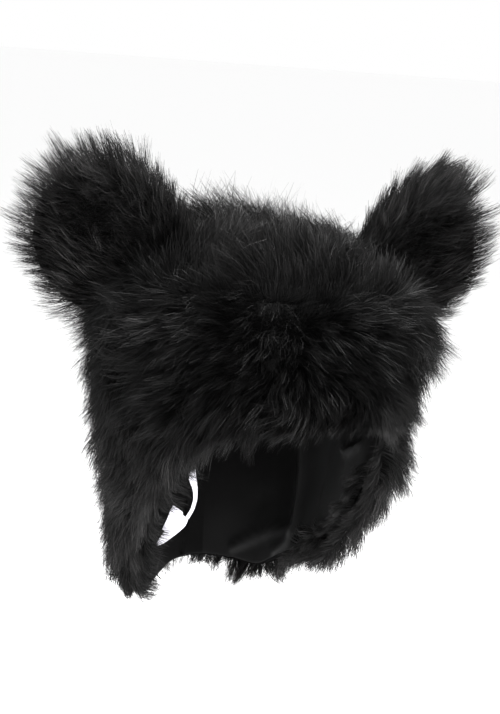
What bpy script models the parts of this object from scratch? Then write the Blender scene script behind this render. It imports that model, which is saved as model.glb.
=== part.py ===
"""Plush animal hat: a long-pile fur hood with ear flaps, two cupped ears, a satin lining and two labels.

The hat's front faces -Y and its wearer's left is +X. The origin is the inside of the crown's top,
where a head bears on the lining, so nearly all of the hat lies below it.
"""

import math
from collections import namedtuple

import bmesh
import bpy
import numpy as np
from mathutils import Vector

# The hollow that the lining bounds, measured in the brim plane
HOLLOW_HALF_WIDTH = 0.0790
HOLLOW_FRONT = 0.0970
HOLLOW_BACK = 0.0980
CROWN_HEIGHT = 0.1300
PLAN_SQUARENESS = 2.3

# The layers of the wall
LINING_THICK = 0.0012
BACKING_THICK = 0.0025
LAYER_GAP = 0.0003
PILE_DEPTH = 0.0150
PILE_OVERHANG = 0.0090
SPARE_LENGTH = 0.0144
DENT_DEPTH = 0.0055

# Locks of the pile. Slide is a share of the step between rows, down the hat where positive; level is a share
# of the pile's depth.
Lock = namedtuple("Lock", "slide level")
LOCK_TIP = Lock(0.34, 1.00)
LOCK_GAP = Lock(-0.20, 0.56)
LOCK_ROOT = Lock(0.00, 0.26)
CROWN_LEVEL = 0.70
COAT_SEED = 11

# How far the lower edge of each flap hangs in towards the chin
LEFT_FLAP_LEAN = 0.0160
RIGHT_FLAP_LEAN = 0.0050
LEAN_REACH = 0.0800

# The seam between the front and the back panel, seen from the side
RIDGE_HEIGHT = 0.1080
EAR_SEAM_Y = 0.0060
HEM_SEAM_Y = 0.0480
SEAM_GAP = 0.0003
BLOCK_REACH = 0.3250

# The ears. The cup's shares say how much of its depth comes from the curl across and from the curl upwards.
EAR_HALF_WIDTH = 0.0485
EAR_HEIGHT = 0.0945
EAR_PAD_THICK = 0.0090
EAR_PILE = 0.0100
EAR_CUP = 0.0240
EAR_CUP_ACROSS = 0.85
EAR_CUP_UPWARD = 0.45
EAR_CUP_MIDDLE = 0.45
EAR_LEAST_PILE = 0.35
EAR_LOCK_SLIDE = 0.60
EAR_SEEDS = {1: 23, -1: 29}
EAR_TILT = math.radians(40)
EAR_TURN = math.radians(27)
EAR_ROOT_X = 0.0660
EAR_ROOT_HEIGHT = 0.1020
EAR_CLEARANCE = 0.0003

# The labels sewn in at the front edge of the wearer's right flap
LABEL_AZIMUTH = -48.0
FLAP_AZIMUTH = -120.0
LABEL_THICK = 0.0008
LABEL_GAP = 0.0004
LABEL_SEAM = 0.0020
LABEL_DROP = 0.0120
LOOP_LENGTH = 0.0270
LOOP_BOW = 0.0120
LOOP_WIDTH = 0.0045
CARE_LABEL_LENGTH = 0.0300
CARE_LABEL_REACH = 0.0150

# How finely the meshes follow the cloth
COLUMNS = 68
WALL_ROWS = 9
LOCK_ROWS = 12
EAR_COLUMNS = 12
EAR_ROWS = 6
FINE_STEPS = 160
WELD_DISTANCE = 0.00002

# Horizontal sections of the hollow. Height is a share of CROWN_HEIGHT above the brim plane; side, front
# and back are shares of the three reaches of the hollow.
Section = namedtuple("Section", "height side front back")
SECTIONS = (
    Section(-1.000, 0.74, 0.66, 0.74),
    Section(-0.450, 0.83, 0.86, 0.89),
    Section(0.000, 0.90, 0.96, 0.97),
    Section(0.280, 0.97, 1.00, 1.02),
    Section(0.540, 1.09, 0.97, 1.06),
    Section(0.760, 1.06, 0.90, 1.05),
    Section(0.910, 0.83, 0.67, 0.88),
    Section(0.985, 0.46, 0.36, 0.52),
    Section(1.000, 0.00, 0.00, 0.00),
)

# The lower edge of the hat. Azimuth is in degrees from the front towards the wearer's left; height is a
# share of CROWN_HEIGHT above the brim plane.
Rim = namedtuple("Rim", "azimuth height")
RIM = (
    Rim(-160, -0.61),
    Rim(-148, -0.65),
    Rim(-132, -0.70),
    Rim(-115, -0.70),
    Rim(-100, -0.66),
    Rim(-84, -0.52),
    Rim(-66, -0.21),
    Rim(-48, 0.09),
    Rim(-30, 0.23),
    Rim(0, 0.27),
    Rim(30, 0.29),
    Rim(50, 0.23),
    Rim(62, 0.06),
    Rim(75, -0.18),
    Rim(90, -0.38),
    Rim(106, -0.49),
    Rim(122, -0.54),
    Rim(138, -0.61),
    Rim(158, -0.60),
)

# Dents and swellings of the cloth. Depth is a share of DENT_DEPTH, out of the hat where positive.
Swelling = namedtuple("Swelling", "azimuth height half_turn half_height depth")
SWELLINGS = (
    Swelling(0, 0.78, 62, 0.13, 0.55),
    Swelling(2, 0.54, 26, 0.15, -1.00),
    Swelling(44, 0.50, 14, 0.18, -0.73),
    Swelling(-46, 0.58, 15, 0.16, -0.55),
    Swelling(-20, 0.32, 26, 0.13, 0.45),
)

# Outline of an ear from its root to its top: shares of EAR_HEIGHT and of EAR_HALF_WIDTH
EarWidth = namedtuple("EarWidth", "height half_width")
EAR_OUTLINE = (
    EarWidth(0.00, 0.74),
    EarWidth(0.16, 0.88),
    EarWidth(0.34, 0.98),
    EarWidth(0.54, 1.00),
    EarWidth(0.74, 0.88),
    EarWidth(0.90, 0.62),
    EarWidth(0.975, 0.33),
    EarWidth(1.00, 0.00),
)

# Shape of a label: how far along its length down the flap's edge, how far it stands off the lining and how
# wide it is, both as shares of its reach.
Fold = namedtuple("Fold", "along stand_off width")
CARE_LABEL_FOLDS = (
    Fold(0.00, 0.00, 0.86),
    Fold(0.12, 0.00, 1.00),
    Fold(0.55, 0.00, 0.62),
    Fold(1.00, 0.00, 0.10),
)
LOOP_BOWS = (
    Fold(0.00, 0.00, 1.00),
    Fold(0.25, 0.72, 1.00),
    Fold(0.50, 1.00, 1.00),
    Fold(0.75, 0.72, 1.00),
    Fold(1.00, 0.00, 1.00),
)


def curve_through(table, where):
    """Rows of a table at fractional row numbers, on a smooth curve through all of them."""
    rows = np.array(table, float)
    last = len(rows) - 1
    where = np.clip(where, 0.0, last - 1e-9)
    low = np.floor(where).astype(int)
    t = (where - low)[..., None]
    before, start, end, after = (rows[np.clip(low + step, 0, last)] for step in (-1, 0, 1, 2))
    return 0.5 * (
        2 * start
        + (end - before) * t
        + (2 * before - 5 * start + 4 * end - after) * t**2
        + (3 * start - before - 3 * end + after) * t**3
    )


def rim_height(azimuth):
    """Height share of the hat's lower edge at an azimuth in degrees."""
    turns = np.array([row.azimuth for row in RIM], float)
    heights = np.array([row.height for row in RIM], float)
    turns = np.concatenate([turns[-2:] - 360, turns, turns[:2] + 360])
    heights = np.concatenate([heights[-2:], heights, heights[:2]])
    slopes = np.gradient(heights, turns)
    azimuth = (np.asarray(azimuth, float) + 180) % 360 - 180
    index = np.clip(np.searchsorted(turns, azimuth) - 1, 0, len(turns) - 2)
    span = turns[index + 1] - turns[index]
    t = (azimuth - turns[index]) / span
    return (
        (2 * t**3 - 3 * t**2 + 1) * heights[index]
        + (t**3 - 2 * t**2 + t) * span * slopes[index]
        + (3 * t**2 - 2 * t**3) * heights[index + 1]
        + (t**3 - t**2) * span * slopes[index + 1]
    )


def hollow_surface(azimuth, section):
    """Points of the hollow's surface at azimuths in degrees and fractional section numbers."""
    turn = np.radians(azimuth)
    row = curve_through(SECTIONS, section)
    height, side, front, back = np.moveaxis(row, -1, 0)
    across, ahead = np.sin(turn), np.cos(turn)
    squaring = (abs(across) ** PLAN_SQUARENESS + abs(ahead) ** PLAN_SQUARENESS) ** (-1 / PLAN_SQUARENESS)
    reach = np.where(ahead > 0, front * HOLLOW_FRONT, back * HOLLOW_BACK)
    swell = sum(
        DENT_DEPTH
        * row.depth
        * np.exp(-((((azimuth - row.azimuth + 180) % 360 - 180) / row.half_turn) ** 2))
        * np.exp(-(((height - row.height) / row.half_height) ** 2))
        for row in SWELLINGS
    )
    x = (side * HOLLOW_HALF_WIDTH + swell) * across * squaring
    y = -(reach + swell) * ahead * squaring
    z = height * CROWN_HEIGHT
    low = np.clip(-z / LEAN_REACH, 0.0, 2.0) ** 1.5
    x = x - np.where(x > 0, LEFT_FLAP_LEAN, -RIGHT_FLAP_LEAN) * low * abs(across)
    return np.stack([x, y, z - CROWN_HEIGHT], -1)


class Cloth:
    """The hollow's surface as columns that run from below the rim up to the crown's top."""

    def __init__(self):
        self.azimuth = (np.arange(COLUMNS) + 0.5) * 360 / COLUMNS - 180
        every = np.linspace(0, len(SECTIONS) - 1, 2000)
        heights = curve_through(SECTIONS, every)[:, 0]
        rim = rim_height(self.azimuth)
        below = rim - SPARE_LENGTH / CROWN_HEIGHT
        first, rim_section = np.interp(below, heights, every), np.interp(rim, heights, every)
        share = np.linspace(0, 1, FINE_STEPS)
        section = first[:, None] + (len(SECTIONS) - 1 - first[:, None]) * share
        turn = np.broadcast_to(self.azimuth[:, None], section.shape)
        self.points = hollow_surface(turn, section)
        around = hollow_surface(turn + 0.5, section) - hollow_surface(turn - 0.5, section)
        up = np.gradient(self.points, axis=1)
        out = np.cross(around, up)
        out[:, -1] = (0.0, 0.0, 1.0)
        self.normals = out / np.linalg.norm(out, axis=-1, keepdims=True)
        steps = np.linalg.norm(np.diff(self.points, axis=1), axis=-1)
        run = np.concatenate([np.zeros((COLUMNS, 1)), np.cumsum(steps, axis=1)], axis=1)
        at_rim = [np.interp(s, section[i], run[i]) for i, s in enumerate(rim_section)]
        self.run = run - np.array(at_rim)[:, None]

    def ring(self, climb, offset, slide=0.0):
        """A ring of points: climb is 0 at the rim and 1 at the top, offset is out of the hollow's surface."""
        climb, offset, slide = (np.broadcast_to(v, self.azimuth.shape) for v in (climb, offset, slide))
        made = []
        for i, run in enumerate(self.run):
            at = climb[i] * run[-1] + slide[i]
            point = [np.interp(at, run, self.points[i, :, k]) for k in range(3)]
            normal = Vector([np.interp(at, run, self.normals[i, :, k]) for k in range(3)]).normalized()
            made.append(Vector(point) + float(offset[i]) * normal)
        return made

    def pole(self, offset):
        """The middle of the crown's top."""
        return Vector(self.points[0, -1]) + Vector((0.0, 0.0, offset))


def loft(name, rings, start_pole=None, end_pole=None, caps=False, mirrored_bands=0):
    """A mesh of triangles through closed rings of points, with poles or ladders of faces at its ends.

    The first mirrored_bands bands have their diagonals the other way, so that a surface that doubles back
    over itself at a constant distance has the same facets on both sides.
    """
    bm = bmesh.new()
    loops = [[bm.verts.new(point) for point in ring] for ring in rings]
    count = len(rings[0])
    for band, (upper, lower) in enumerate(zip(loops, loops[1:])):
        for i in range(count):
            j = (i + 1) % count
            if band < mirrored_bands:
                bm.faces.new((upper[i], lower[i], upper[j]))
                bm.faces.new((lower[i], lower[j], upper[j]))
            else:
                bm.faces.new((upper[i], lower[i], lower[j]))
                bm.faces.new((upper[i], lower[j], upper[j]))
    for pole, loop in ((start_pole, loops[0]), (end_pole, loops[-1])):
        if pole is not None:
            middle = bm.verts.new(pole)
            for i in range(count):
                bm.faces.new((middle, loop[i], loop[(i + 1) % count]))
    if caps:
        half = count // 2
        for loop in (loops[0], loops[-1]):
            for i in range(half - 1):
                bm.faces.new((loop[i], loop[i + 1], loop[count - 2 - i], loop[count - 1 - i]))
    bmesh.ops.recalc_face_normals(bm, faces=bm.faces)
    mesh = bpy.data.meshes.new(name)
    bm.to_mesh(mesh)
    bm.free()
    made = bpy.data.objects.new(name, mesh)
    bpy.context.scene.collection.objects.link(made)
    return made


def material(name, colour, roughness):
    """A plain Principled material."""
    made = bpy.data.materials.new(name)
    made.use_nodes = True
    shader = made.node_tree.nodes["Principled BSDF"]
    shader.inputs["Base Color"].default_value = (*colour, 1.0)
    shader.inputs["Roughness"].default_value = roughness
    shader.inputs["Metallic"].default_value = 0.0
    return made


def remove_slivers(mesh):
    """Welds points that a cut leaves almost together, and deletes the faces that this folds flat."""
    bm = bmesh.new()
    bm.from_mesh(mesh)
    bmesh.ops.triangulate(bm, faces=bm.faces)
    bmesh.ops.remove_doubles(bm, verts=bm.verts, dist=WELD_DISTANCE)
    bmesh.ops.dissolve_degenerate(bm, edges=bm.edges, dist=WELD_DISTANCE)
    on_corners = {}
    for face in bm.faces:
        on_corners.setdefault(frozenset(face.verts), []).append(face)
    folded = [face for faces in on_corners.values() if len(faces) > 1 for face in faces]
    bmesh.ops.delete(bm, geom=folded, context="FACES")
    bm.to_mesh(mesh)
    bm.free()


def apply_boolean(target, operation, cutter):
    """Runs one exact Boolean and keeps its result as the target's mesh."""
    change = target.modifiers.new(operation.title(), "BOOLEAN")
    change.operation = operation
    change.solver = "EXACT"
    change.object = cutter
    graph = bpy.context.evaluated_depsgraph_get()
    mesh = bpy.data.meshes.new_from_object(target.evaluated_get(graph))
    target.modifiers.remove(change)
    target.data = mesh
    remove_slivers(mesh)


def keep_main_body(target):
    """Deletes the loose tips of pile that a cut leaves behind."""
    bm = bmesh.new()
    bm.from_mesh(target.data)
    left = set(bm.verts)
    bodies = []
    while left:
        reached = {left.pop()}
        edge_of_body = list(reached)
        while edge_of_body:
            near = {edge.other_vert(vert) for vert in edge_of_body for edge in vert.link_edges}
            edge_of_body = list(near - reached)
            reached |= near
        left -= reached
        bodies.append(reached)
    bodies.sort(key=len)
    for body in bodies[:-1]:
        bmesh.ops.delete(bm, geom=list(body), context="VERTS")
    bm.to_mesh(target.data)
    bm.free()


def make_helper(made):
    """Marks an object as a cutter that isn't part of the hat."""
    made.hide_render = True
    made.display_type = "WIRE"
    return made


def make_lining(cloth, finish):
    """The satin dome that a head touches: down its inner face, round its lower edge and up its outer face."""
    inner = [cloth.ring(row / WALL_ROWS, 0.0) for row in range(WALL_ROWS)]
    outer = [cloth.ring(row / WALL_ROWS, LINING_THICK) for row in range(WALL_ROWS)]
    lining = loft(
        "lining",
        inner[::-1] + outer,
        start_pole=cloth.pole(0.0),
        end_pole=cloth.pole(LINING_THICK),
        mirrored_bands=WALL_ROWS - 1,
    )
    lining.data.materials.append(finish)


def lock_levels(rng, columns, row):
    """How far each column's lock slides and how high it stands in this row, as shares."""
    tips = (np.arange(columns) + row) % 2 == 0
    slide = np.where(tips, LOCK_TIP.slide, LOCK_GAP.slide) * rng.uniform(0.8, 1.15, columns)
    high = np.where(tips, LOCK_TIP.level, LOCK_GAP.level) * rng.uniform(0.86, 1.06, columns)
    return slide, high


def make_fur_coat(cloth):
    """Backing and pile as one solid: rows of pointed locks, whose tips lie over the next row's roots."""
    rng = np.random.default_rng(COAT_SEED)
    backing_in = LINING_THICK + LAYER_GAP
    backing_out = backing_in + BACKING_THICK
    pitch = np.array([run[-1] for run in cloth.run]) / LOCK_ROWS
    rings = []
    for row in range(LOCK_ROWS - 1, -1, -1):
        slide, high = lock_levels(rng, COLUMNS, row)
        root = LOCK_ROOT.level * rng.uniform(0.85, 1.1, COLUMNS)
        overhang = np.minimum(pitch * slide, PILE_OVERHANG)
        rings.append(cloth.ring(row / LOCK_ROWS, backing_out + PILE_DEPTH * high, -overhang))
        if row > 0:
            rings.append(cloth.ring(row / LOCK_ROWS, backing_out + PILE_DEPTH * root))
    rings.append(cloth.ring(0.0, backing_out))
    rings += [cloth.ring(row / WALL_ROWS, backing_in) for row in range(WALL_ROWS)]
    crown = cloth.pole(backing_out + CROWN_LEVEL * PILE_DEPTH)
    return loft("fur_coat", rings, start_pole=crown, end_pole=cloth.pole(backing_in))


def make_seam_block(name, gap):
    """Everything in front of the seam, as a prism across the hat; gap moves its face up and back."""
    ridge, ear, hem, far = RIDGE_HEIGHT - CROWN_HEIGHT + gap, EAR_SEAM_Y + gap, HEM_SEAM_Y + gap, BLOCK_REACH
    outline = ((-far, ridge), (ear, ridge), (hem, -far), (-far, -far))
    rings = [[Vector((x, y, z)) for y, z in outline] for x in (-far, far)]
    return make_helper(loft(name, rings, caps=True))


def ear_frame(side):
    """Root point and the ear's width, height and facing directions; side is 1 for the wearer's left."""
    outward = Vector((side * math.cos(EAR_TILT), 0.0, -math.sin(EAR_TILT)))
    height = Vector((side * math.sin(EAR_TILT), 0.0, math.cos(EAR_TILT)))
    width = math.cos(EAR_TURN) * outward + math.sin(EAR_TURN) * Vector((0.0, 1.0, 0.0))
    facing = math.cos(EAR_TURN) * Vector((0.0, -1.0, 0.0)) + math.sin(EAR_TURN) * outward
    root = Vector((side * EAR_ROOT_X, EAR_SEAM_Y, EAR_ROOT_HEIGHT - CROWN_HEIGHT))
    return root, width, height, facing


def ear_half_width(height):
    """Half the ear's width at a share of its height, which may be below the root."""
    every = np.linspace(0, len(EAR_OUTLINE) - 1, 400)
    heights, half_widths = np.moveaxis(curve_through(EAR_OUTLINE, every), -1, 0)
    return float(np.interp(height, heights, half_widths)) * EAR_HALF_WIDTH


def ear_ring(side, height, front_pile, back_pile, slide=0.0):
    """One ring round the ear at a share of its height: along its front face and back along its back face."""
    root, width, up, facing = ear_frame(side)
    count = EAR_COLUMNS + 1
    across = np.linspace(1.0, -1.0, count)
    high = height + np.broadcast_to(slide, (count,))
    wide = ear_half_width(height) * across
    curl_across = EAR_CUP_ACROSS * (wide / EAR_HALF_WIDTH) ** 2
    cup = EAR_CUP * (curl_across + EAR_CUP_UPWARD * (high - EAR_CUP_MIDDLE) ** 2)
    pad = 0.5 * EAR_PAD_THICK * np.sqrt(1.1 - across**4)
    front, back = cup + pad + front_pile, cup - pad - back_pile
    spots = list(zip(wide.tolist(), (high * EAR_HEIGHT).tolist(), front.tolist(), back.tolist()))
    return [root + w * width + h * up + ahead * facing for w, h, ahead, _ in spots] + [
        root + w * width + h * up + behind * facing for w, h, _, behind in reversed(spots)
    ]


def make_ear(name, side):
    """A cupped pad with rows of locks on both faces."""
    rng = np.random.default_rng(EAR_SEEDS[side])
    count = EAR_COLUMNS + 1
    across = abs(np.linspace(1.0, -1.0, count))
    edge = np.clip(EAR_LEAST_PILE + 3 * (1 - across), 0.0, 1.0)
    sunk = -EAR_PAD_THICK / EAR_HEIGHT
    rings = [ear_ring(side, sunk, 0.0, 0.0)]
    for row in range(EAR_ROWS):
        height = (row + 0.4) / EAR_ROWS
        rise = min(1.0, EAR_LEAST_PILE + 0.9 * height) * edge * EAR_PILE
        slide, high = lock_levels(rng, count, row)
        slide = slide * (across < 1) * EAR_LOCK_SLIDE / EAR_ROWS
        rings.append(ear_ring(side, height, high * rise, high[::-1] * rise, slide))
        last = row == EAR_ROWS - 1
        low = (0.1 if last else 0.3) * rise
        rings.append(ear_ring(side, (row + (0.9 if last else 0.82)) / EAR_ROWS, low, low))
    rings.append(ear_ring(side, 1.0 - 0.05 / EAR_ROWS, 0.0, 0.0))
    return loft(name, rings, caps=True)


def make_ear_slot(name, side):
    """A smooth, slightly larger ear that cuts the ear's seat out of the fur coat."""
    sunk = -EAR_PAD_THICK / EAR_HEIGHT
    rings = []
    for height in (3 * sunk, sunk, *np.linspace(0.08, 0.98, 2 * EAR_ROWS)):
        pile = EAR_PILE * min(1.15, max(0.5, 0.5 + height)) + EAR_CLEARANCE
        outer = ear_ring(side, height, pile, pile)
        middle = sum(outer, Vector()) / len(outer)
        rings.append([middle + (p - middle) * (1 + 3 * EAR_CLEARANCE / EAR_HALF_WIDTH) for p in outer])
    return make_helper(loft(name, rings, caps=True))


class FlapEdge:
    """The front edge of the wearer's right flap on its inner side, from the brim down."""

    def __init__(self, cloth):
        down = [i for i in range(COLUMNS) if FLAP_AZIMUTH < cloth.azimuth[i] <= LABEL_AZIMUTH][::-1]
        wall = cloth.ring(0.0, 0.0, LABEL_SEAM)
        inside = cloth.ring(0.0, -LINING_THICK, LABEL_SEAM)
        self.points = np.array([wall[i] for i in down])
        self.inward = np.array([(inside[i] - wall[i]).normalized() for i in down])
        steps = np.linalg.norm(np.diff(self.points, axis=0), axis=1)
        self.run = np.concatenate([[0.0], np.cumsum(steps)])

    def at(self, distance):
        """Point, direction into the hollow and normal of a label's face at a distance down the edge."""
        point, ahead, inward = (
            Vector([np.interp(where, self.run, table[:, k]) for k in range(3)])
            for where, table in (
                (distance, self.points),
                (distance + LABEL_THICK, self.points),
                (distance, self.inward),
            )
        )
        inward.normalize()
        return point, inward, inward.cross(ahead - point).normalized()


def make_label(name, edge, top, length, stand_off, width, folds):
    """A ribbon along the flap's edge: its stations are the rows of a table of folds."""
    rings = []
    for fold in folds:
        point, inward, face = edge.at(top + fold.along * length)
        near = point + (LABEL_GAP + fold.stand_off * stand_off) * inward
        far = near + fold.width * width * inward
        half = 0.5 * LABEL_THICK * face
        rings.append([near + half, far + half, far - half, near - half])
    return loft(name, rings, caps=True)


def make_labels(cloth, ribbon):
    """The hanging loop and, just below it, the folded care label. Both are blank."""
    edge = FlapEdge(cloth)
    loop = make_label("hanging_loop", edge, LABEL_DROP, LOOP_LENGTH, LOOP_BOW, LOOP_WIDTH, LOOP_BOWS)
    below = LABEL_DROP + LOOP_LENGTH + 2 * LABEL_GAP
    care = make_label("care_label", edge, below, CARE_LABEL_LENGTH, 0.0, CARE_LABEL_REACH, CARE_LABEL_FOLDS)
    for label in (loop, care):
        label.data.materials.append(ribbon)


def make_hollow_block(name, cloth, offset):
    """The space inside the wall out to an offset, as one solid that trims what must stop above the lining."""
    rings = [cloth.ring(row / WALL_ROWS, offset) for row in range(WALL_ROWS)]
    low = sum(rings[0], Vector()) / len(rings[0])
    return make_helper(loft(name, rings, start_pole=low, end_pole=cloth.pole(offset)))


def make_furs(cloth, fur):
    """The two ears and the two fur panels between which they are sewn."""
    coat = make_helper(make_fur_coat(cloth))
    inside = make_hollow_block("inside_block", cloth, LINING_THICK + LAYER_GAP)
    for label, side in (("left", 1), ("right", -1)):
        ear = make_ear(f"ear_{label}", side)
        apply_boolean(ear, "DIFFERENCE", inside)
        keep_main_body(ear)
        ear.data.materials.append(fur)
        apply_boolean(coat, "DIFFERENCE", make_ear_slot(f"ear_slot_{label}", side))
    panels = {
        "front_panel": ("INTERSECT", make_seam_block("front_block", 0.0)),
        "back_panel": ("DIFFERENCE", make_seam_block("back_block", SEAM_GAP)),
    }
    for name, (operation, block) in panels.items():
        panel = bpy.data.objects.new(name, coat.data.copy())
        bpy.context.scene.collection.objects.link(panel)
        apply_boolean(panel, operation, block)
        keep_main_body(panel)
        panel.data.materials.clear()
        panel.data.materials.append(fur)


def clear_scene():
    """Removes the startup objects."""
    for old in list(bpy.data.objects):
        bpy.data.objects.remove(old)


def main():
    clear_scene()
    fur = material("black_fur", (0.016, 0.015, 0.015), 0.55)
    satin = material("black_satin", (0.012, 0.012, 0.013), 0.38)
    ribbon = material("white_ribbon", (0.62, 0.62, 0.68), 0.42)
    cloth = Cloth()
    make_lining(cloth, satin)
    make_furs(cloth, fur)
    make_labels(cloth, ribbon)


main()
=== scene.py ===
"""Plush animal hat: the looks of a long-pile fur hood with two cupped ears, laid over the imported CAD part.

The hat's front faces -Y, its wearer's left is +X, and the origin is the inside of the crown's top.
"""

import math
from collections import namedtuple

import bmesh
import bpy
import numpy as np
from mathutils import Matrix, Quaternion, Vector
from mathutils.kdtree import KDTree


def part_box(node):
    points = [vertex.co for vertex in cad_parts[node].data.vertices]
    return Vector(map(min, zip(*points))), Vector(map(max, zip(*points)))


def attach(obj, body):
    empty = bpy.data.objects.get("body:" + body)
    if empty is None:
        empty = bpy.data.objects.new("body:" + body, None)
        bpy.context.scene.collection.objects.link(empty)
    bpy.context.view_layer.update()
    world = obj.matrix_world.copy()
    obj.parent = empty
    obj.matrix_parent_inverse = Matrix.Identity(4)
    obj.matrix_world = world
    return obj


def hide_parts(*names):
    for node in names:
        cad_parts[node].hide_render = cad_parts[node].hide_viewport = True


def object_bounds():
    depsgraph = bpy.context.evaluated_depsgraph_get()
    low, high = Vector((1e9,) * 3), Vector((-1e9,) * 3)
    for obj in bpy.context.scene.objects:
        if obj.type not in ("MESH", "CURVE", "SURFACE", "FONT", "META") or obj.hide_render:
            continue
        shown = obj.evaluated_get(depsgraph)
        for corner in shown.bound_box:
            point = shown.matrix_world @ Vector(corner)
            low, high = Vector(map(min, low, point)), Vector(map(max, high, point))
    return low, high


bl_info = {
    "name": "Plush animal hat",
    "version": (1, 0, 0),
    "blender": (4, 5, 0),
    "location": "3D View > Sidebar > Plush hat",
    "description": "Builds the fur, ears, lining and labels of a plush animal hat over its CAD part",
    "category": "Object",
}

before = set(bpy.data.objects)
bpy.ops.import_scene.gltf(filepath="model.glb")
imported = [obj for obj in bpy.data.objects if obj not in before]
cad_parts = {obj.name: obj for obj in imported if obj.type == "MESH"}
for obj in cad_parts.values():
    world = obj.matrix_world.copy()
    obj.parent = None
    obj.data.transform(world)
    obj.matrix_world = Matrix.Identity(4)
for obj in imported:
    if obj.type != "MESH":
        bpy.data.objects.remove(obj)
CAD_BOX = [list(corner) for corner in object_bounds()]

# The fur fabric: its backing lies just outside the lining, and its wall leaves a little room
LINING_GAP = 0.0003
BACKING_THICK = 0.0025
BACKING_ROOM = 0.0002
# The crown's fur piece ends at this height, where the back's pieces begin
CROWN_LOW = -0.060

# The middle of the hollow, and how squarely a face of the lining turns to or from it; other faces are the hem
HOLLOW_CORE = np.array((0.0, 0.0, -0.1000))
SQUARELY = 0.25
# How far the cloth's hem hangs below the solid's: azimuth in degrees and drop
HEM_DROOP = (
    (-180.0, 0.0055), (-165.0, 0.0065), (-152.0, 0.0090), (-142.0, 0.0100), (-130.0, 0.0040), (-120.0, 0.0),
    (128.0, 0.0), (142.0, 0.0020), (155.0, 0.0050), (168.0, 0.0055), (180.0, 0.0055),
)

# The seam between the front and the back panel, seen from the side: height of the ridge, y of the seam there,
# and the height and y of a point that the seam's line runs to
RIDGE_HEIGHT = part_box("front_panel")[1][2]
EAR_SEAM_Y = 0.0060
HEM_SEAM = (-0.3250, 0.0480)

# The strip of fur turned in over the rim of the wearer's left flap: azimuth in degrees and width, and how far
# it lies off the satin
TURNED_IN = (
    (50.0, 0.0), (62.0, 0.005), (76.0, 0.006), (92.0, 0.007), (106.0, 0.011), (118.0, 0.009), (130.0, 0.0),
)
TURNED_IN_LIFT = 0.0006

# Points along a fibre, and the most lock middles per square metre before their spacing thins them
FIBRE_STEPS = 4
LOCK_CROWD = 400000.0
# The fields on a cloth that say how its pile grows and what painted light and shade its colour carries, and
# the inputs of the tree that grows it
PILE_FIELDS = ("comb", "out", "pile", "rise", "thick", "shade", "stray")
FUR_INPUTS = (
    ("Cloth", "Geometry"), ("Fibres per Square Metre", "Float"), ("Lock Spacing", "Float"),
    ("Gathering", "Float"), ("Fibre Width", "Float"), ("Steps", "Int"), ("Seed", "Int"),
    ("Finish", "Material"),
)

# The ears' own frame, from the root at the seam upwards
EAR_ROOT = (0.0660, EAR_SEAM_Y, -0.0280)
EAR_TILT = math.radians(40)
EAR_TURN = math.radians(27)
# The cup's curl across and upwards, and the height that it curls about
EAR_CUP_SHARES = (0.85, 0.45, 0.45)
# Shares of the ear's height, and the half width there as a share of the widest
EAR_OUTLINE = (
    (0.00, 0.74), (0.16, 0.88), (0.34, 0.98), (0.54, 1.00), (0.74, 0.88), (0.90, 0.62), (0.975, 0.33),
    (1.00, 0.0),
)
# The pad's rows of points, from below the root to just under the top, and the points across one of its faces
EAR_REACH = (-0.10, 0.995)
EAR_ROWS = 22
EAR_COLUMNS = 15

# Broad soft folds of the satin. Azimuth is in degrees from the front towards the wearer's left, and depth is
# a share of the fold depth, into the hollow where positive.
Fold = namedtuple("Fold", "azimuth height half_turn half_height depth")
FOLDS = (
    Fold(122, -0.160, 9.0, 0.036, -0.70),
    Fold(150, -0.178, 9.0, 0.012, -0.60),
    Fold(176, -0.160, 14.0, 0.034, 0.40),
    Fold(92, -0.128, 8.0, 0.014, 0.50),
)

# Narrow ridges of the satin: points of azimuth and height, half width and share of the fold depth
Ridge = namedtuple("Ridge", "path half_width depth")
RIDGES = (
    Ridge(
        ((138, -0.128), (135, -0.150), (134, -0.168), (133, -0.182), (136, -0.194), (143, -0.202)),
        0.0030, 0.75,
    ),
    Ridge(((134, -0.186), (141, -0.189), (149, -0.192), (158, -0.199), (166, -0.206)), 0.0026, 0.60),
    Ridge(((109, -0.112), (107, -0.121), (101, -0.127), (91, -0.126), (80, -0.119)), 0.0022, 0.95),
    Ridge(((100, -0.108), (95, -0.117), (85, -0.118)), 0.0017, -0.75),
    Ridge(((-150, -0.188), (-146, -0.205), (-141, -0.222)), 0.0020, 0.50),
    Ridge(((-156, -0.190), (-152, -0.204), (-147, -0.218)), 0.0018, 0.45),
    Ridge(((-162, -0.190), (-158, -0.203), (-153, -0.216)), 0.0018, 0.40),
    Ridge(((-173, -0.178), (-172, -0.196), (-170, -0.210)), 0.0012, -0.30),
)
# The satin's folds never sink into the wall: below this share their depth fades towards nothing
LEAST_DEPTH = 0.1
# Painted light on the satin of the back wall: azimuth in degrees and level
PAINTED_WALL_LIGHT = ((134, 1.30), (150, 1.80), (165, 0.75), (180, 0.42), (200, 0.50))

# The ribbons' stations in millimetres: the end of the width nearer to the flap's edge, and the far end
LOOP_STATIONS = (
    ((-53.6, -59.5, -129.5), (-49.0, -59.0, -127.0)),
    ((-51.8, -56.5, -135.0), (-47.4, -56.0, -132.5)),
    ((-48.2, -52.5, -140.6), (-45.0, -52.5, -139.8)),
    ((-45.8, -48.0, -147.4), (-43.2, -47.4, -147.9)),
    ((-45.9, -43.5, -154.8), (-43.5, -43.3, -155.2)),
    ((-48.0, -39.5, -161.2), (-45.4, -39.0, -162.2)),
)
CARE_STATIONS = (
    ((-54.6, -38.6, -155.6), (-45.0, -38.2, -162.0)),
    ((-55.2, -35.0, -161.5), (-45.4, -33.6, -167.6)),
    ((-56.2, -30.6, -168.8), (-49.4, -29.2, -173.4)),
    ((-58.6, -25.4, -176.4), (-54.4, -24.2, -179.6)),
    ((-59.8, -21.4, -181.6), (-58.2, -21.0, -183.0)),
)
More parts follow.
